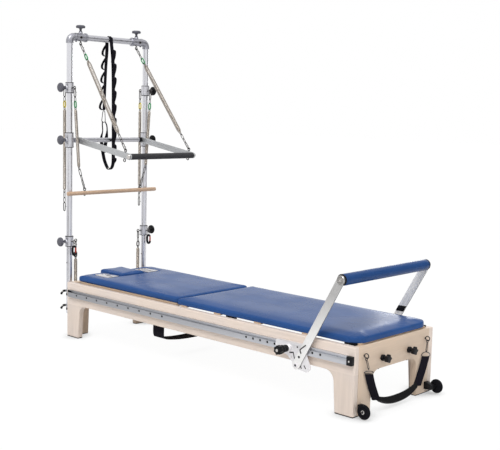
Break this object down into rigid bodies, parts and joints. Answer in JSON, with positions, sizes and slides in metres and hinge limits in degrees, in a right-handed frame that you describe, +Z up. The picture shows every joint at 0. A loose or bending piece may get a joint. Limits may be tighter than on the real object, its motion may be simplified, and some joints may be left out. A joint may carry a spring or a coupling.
{
  "type": "pilates reformer with tower",
  "caption": "Maple pilates reformer with padded carriage, conversion mat, folding footbar and a spring tower carrying a push-through bar, roll-down bar, springs and sling.",
  "frame": {"origin": "middle of the footprint's bounding box, on the floor", "axes": "+X from the tower at the head end to the footbar at the foot end, +Y to the right side, +Z up"},
  "size_m": [2.4532, 0.924, 1.972],
  "materials": {
    "maple": "satin lacquer",
    "plywood": "sealed",
    "vinyl": "grained satin",
    "aluminium": "satin anodised",
    "stainless": "brushed",
    "casting": "cast, matt",
    "black_plastic": "matt",
    "foam": "closed-cell foam",
    "wheel_rubber": "matt",
    "nickel_wire": "nickel",
    "webbing": "woven"
  },
  "bodies": {
    "frame": {"side_frame_left": "maple", "side_frame_right": "maple", "head_frame": "maple", "foot_frame": "maple", "slide_rail_left": "aluminium", "slide_rail_right": "aluminium", "upright_left": "aluminium", "upright_right": "aluminium", "top_tube": "aluminium", "top_elbow_left": "casting", "top_elbow_right": "casting", "tower_clamp_left": "black_plastic", "tower_clamp_right": "black_plastic", "bar_collar_left": "casting", "bar_collar_right": "casting", "top_sleeve_left": "casting", "top_sleeve_right": "casting", "top_spring_left": "nickel_wire", "top_spring_right": "nickel_wire", "well_strap": "webbing"},
    "carriage": {"carriage_deck": "plywood", "carriage_pad": "vinyl"},
    "headrest": {"headrest": "vinyl"},
    "conversion_mat": {"mat_board": "plywood", "mat_pad": "vinyl"},
    "footbar_base": {"footbar_plate_left": "stainless", "footbar_plate_right": "stainless"},
    "footbar": {"footbar_frame": "stainless", "footbar_grip": "vinyl"},
    "push_bar": {"push_bar": "aluminium", "push_bar_grip": "foam"},
    "spring_collars": {"spring_collar_left": "casting", "spring_collar_right": "casting"},
    "roll_down": {"roll_down_bar": "maple", "roll_down_spring_left": "nickel_wire", "roll_down_spring_right": "nickel_wire"},
    "trapeze_sling": {"trapeze_sling": "webbing"},
    "foot_strap": {"foot_strap": "webbing"},
    "carriage_wheel_head_left": {"carriage_wheel_head_left": "black_plastic"},
    "carriage_wheel_foot_left": {"carriage_wheel_foot_left": "black_plastic"},
    "plunger_left": {"plunger_left": "black_plastic"},
    "hanging_spring_left": {"hanging_spring_left": "nickel_wire"},
    "lower_collar_left": {"lower_collar_left": "casting"},
    "lower_spring_left": {"lower_spring_left": "nickel_wire"},
    "spring_collar_knob_left": {"spring_collar_knob_left": "black_plastic"},
    "bar_collar_knob_left": {"bar_collar_knob_left": "black_plastic"},
    "lower_collar_knob_left": {"lower_collar_knob_left": "black_plastic"},
    "star_knob_left": {"star_knob_left": "black_plastic"},
    "transport_wheel_left": {"transport_wheel_left": "wheel_rubber"},
    "carriage_wheel_head_right": {"carriage_wheel_head_right": "black_plastic"},
    "carriage_wheel_foot_right": {"carriage_wheel_foot_right": "black_plastic"},
    "plunger_right": {"plunger_right": "black_plastic"},
    "hanging_spring_right": {"hanging_spring_right": "nickel_wire"},
    "lower_collar_right": {"lower_collar_right": "casting"},
    "lower_spring_right": {"lower_spring_right": "nickel_wire"},
    "spring_collar_knob_right": {"spring_collar_knob_right": "black_plastic"},
    "bar_collar_knob_right": {"bar_collar_knob_right": "black_plastic"},
    "lower_collar_knob_right": {"lower_collar_knob_right": "black_plastic"},
    "star_knob_right": {"star_knob_right": "black_plastic"},
    "transport_wheel_right": {"transport_wheel_right": "wheel_rubber"}
  },
  "joints": [
    {"name": "carriage_slide", "type": "slide", "parent": "frame", "child": "carriage", "axis": [1, 0, 0], "range_m": [0, 0.004]},
    {"name": "headrest_hinge", "type": "hinge", "parent": "carriage", "child": "headrest", "pos_m": [-0.88935, 0, 0.397], "axis": [0, 1, 0], "range_deg": [0, 25]},
    {"name": "mat_lift", "type": "slide", "parent": "frame", "child": "conversion_mat", "axis": [0, 0, 1], "range_m": [0, 0.1]},
    {"name": "footbar_position", "type": "slide", "parent": "frame", "child": "footbar_base", "axis": [1, 0, 0], "range_m": [-0.25, 0.15]},
    {"name": "footbar_hinge", "type": "hinge", "parent": "footbar_base", "child": "footbar", "pos_m": [0.79915, 0, 0.202], "axis": [0, 1, 0], "range_deg": [-30, 40]},
    {"name": "push_bar_hinge", "type": "hinge", "parent": "frame", "child": "push_bar", "pos_m": [-1.13885, 0, 1.252], "axis": [0, 1, 0], "range_deg": [-60, 55], "stiffness_Nm_per_rad": 160, "springref_deg": -1.72, "deforming": ["top_spring_left", "top_spring_right"]},
    {"name": "spring_collar_height", "type": "slide", "parent": "frame", "child": "spring_collars", "axis": [0, 0, 1], "range_m": [-0.15, 0.08]},
    {"name": "roll_down_swing", "type": "hinge", "parent": "spring_collars", "child": "roll_down", "pos_m": [-1.11165, 0, 1.579], "axis": [0, 1, 0], "range_deg": [-30, 0]},
    {"name": "sling_slide", "type": "slide", "parent": "frame", "child": "trapeze_sling", "axis": [0, 1, 0], "range_m": [-0.12, 0.12]},
    {"name": "foot_strap_swing", "type": "hinge", "parent": "frame", "child": "foot_strap", "pos_m": [1.15365, 0, 0.3], "axis": [0, 1, 0], "range_deg": [-60, 0]},
    {"name": "carriage_wheel_head_left_roll", "type": "hinge", "parent": "carriage", "child": "carriage_wheel_head_left", "pos_m": [-0.91885, -0.2925, 0.3002], "axis": [0, 1, 0], "range_deg": [-1, 12]},
    {"name": "carriage_wheel_foot_left_roll", "type": "hinge", "parent": "carriage", "child": "carriage_wheel_foot_left", "pos_m": [-0.31585, -0.2925, 0.3002], "axis": [0, 1, 0], "range_deg": [-1, 12]},
    {"name": "plunger_left_pull", "type": "slide", "parent": "footbar_base", "child": "plunger_left", "axis": [0, -1, 0], "range_m": [0, 0.012], "stiffness_N_per_m": 1200, "springref_m": -0.006},
    {"name": "hanging_spring_left_swing", "type": "hinge", "parent": "spring_collars", "child": "hanging_spring_left", "pos_m": [-1.21565, -0.3125, 1.579], "axis": [0, 1, 0], "range_deg": [0, 25]},
    {"name": "lower_collar_left_height", "type": "slide", "parent": "frame", "child": "lower_collar_left", "axis": [0, 0, 1], "range_m": [-0.04, 0.2]},
    {"name": "lower_spring_left_swing", "type": "hinge", "parent": "lower_collar_left", "child": "lower_spring_left", "pos_m": [-1.16365, -0.2625, 0.608], "axis": [0, 1, 0], "range_deg": [0, 14]},
    {"name": "spring_collar_knob_left_turn", "type": "hinge", "parent": "spring_collars", "child": "spring_collar_knob_left", "pos_m": [-1.16365, -0.3465, 1.579], "axis": [0, -1, 0], "continuous": true},
    {"name": "bar_collar_knob_left_turn", "type": "hinge", "parent": "frame", "child": "bar_collar_knob_left", "pos_m": [-1.16365, -0.3465, 1.252], "axis": [0, -1, 0], "continuous": true},
    {"name": "lower_collar_knob_left_turn", "type": "hinge", "parent": "lower_collar_left", "child": "lower_collar_knob_left", "pos_m": [-1.16365, -0.3465, 0.608], "axis": [0, -1, 0], "continuous": true},
    {"name": "star_knob_left_turn", "type": "hinge", "parent": "frame", "child": "star_knob_left", "pos_m": [1.13915, -0.118, 0.264], "axis": [1, 0, 0], "continuous": true},
    {"name": "transport_wheel_left_roll", "type": "hinge", "parent": "frame", "child": "transport_wheel_left", "pos_m": [1.18915, -0.325, 0.04], "axis": [0, 1, 0], "continuous": true},
    {"name": "carriage_wheel_head_right_roll", "type": "hinge", "parent": "carriage", "child": "carriage_wheel_head_right", "pos_m": [-0.91885, 0.2925, 0.3002], "axis": [0, 1, 0], "range_deg": [-1, 12]},
    {"name": "carriage_wheel_foot_right_roll", "type": "hinge", "parent": "carriage", "child": "carriage_wheel_foot_right", "pos_m": [-0.31585, 0.2925, 0.3002], "axis": [0, 1, 0], "range_deg": [-1, 12]},
    {"name": "plunger_right_pull", "type": "slide", "parent": "footbar_base", "child": "plunger_right", "axis": [0, 1, 0], "range_m": [0, 0.012], "stiffness_N_per_m": 1200, "springref_m": -0.006},
    {"name": "hanging_spring_right_swing", "type": "hinge", "parent": "spring_collars", "child": "hanging_spring_right", "pos_m": [-1.21565, 0.3125, 1.579], "axis": [0, 1, 0], "range_deg": [0, 25]},
    {"name": "lower_collar_right_height", "type": "slide", "parent": "frame", "child": "lower_collar_right", "axis": [0, 0, 1], "range_m": [-0.04, 0.2]},
    {"name": "lower_spring_right_swing", "type": "hinge", "parent": "lower_collar_right", "child": "lower_spring_right", "pos_m": [-1.16365, 0.2625, 0.632], "axis": [0, 1, 0], "range_deg": [0, 14]},
    {"name": "spring_collar_knob_right_turn", "type": "hinge", "parent": "spring_collars", "child": "spring_collar_knob_right", "pos_m": [-1.16365, 0.3465, 1.579], "axis": [0, 1, 0], "continuous": true},
    {"name": "bar_collar_knob_right_turn", "type": "hinge", "parent": "frame", "child": "bar_collar_knob_right", "pos_m": [-1.16365, 0.3465, 1.252], "axis": [0, 1, 0], "continuous": true},
    {"name": "lower_collar_knob_right_turn", "type": "hinge", "parent": "lower_collar_right", "child": "lower_collar_knob_right", "pos_m": [-1.16365, 0.3465, 0.632], "axis": [0, 1, 0], "continuous": true},
    {"name": "star_knob_right_turn", "type": "hinge", "parent": "frame", "child": "star_knob_right", "pos_m": [1.13915, 0.118, 0.264], "axis": [1, 0, 0], "continuous": true},
    {"name": "transport_wheel_right_roll", "type": "hinge", "parent": "frame", "child": "transport_wheel_right", "pos_m": [1.18915, 0.325, 0.04], "axis": [0, 1, 0], "continuous": true}
  ],
  "couplings": [
    {"joint": "carriage_wheel_head_left_roll", "follows": "carriage_slide", "rad_per_m": 45.455},
    {"joint": "carriage_wheel_foot_left_roll", "follows": "carriage_slide", "rad_per_m": 45.455},
    {"joint": "carriage_wheel_head_right_roll", "follows": "carriage_slide", "rad_per_m": 45.455},
    {"joint": "carriage_wheel_foot_right_roll", "follows": "carriage_slide", "rad_per_m": 45.455}
  ]
}
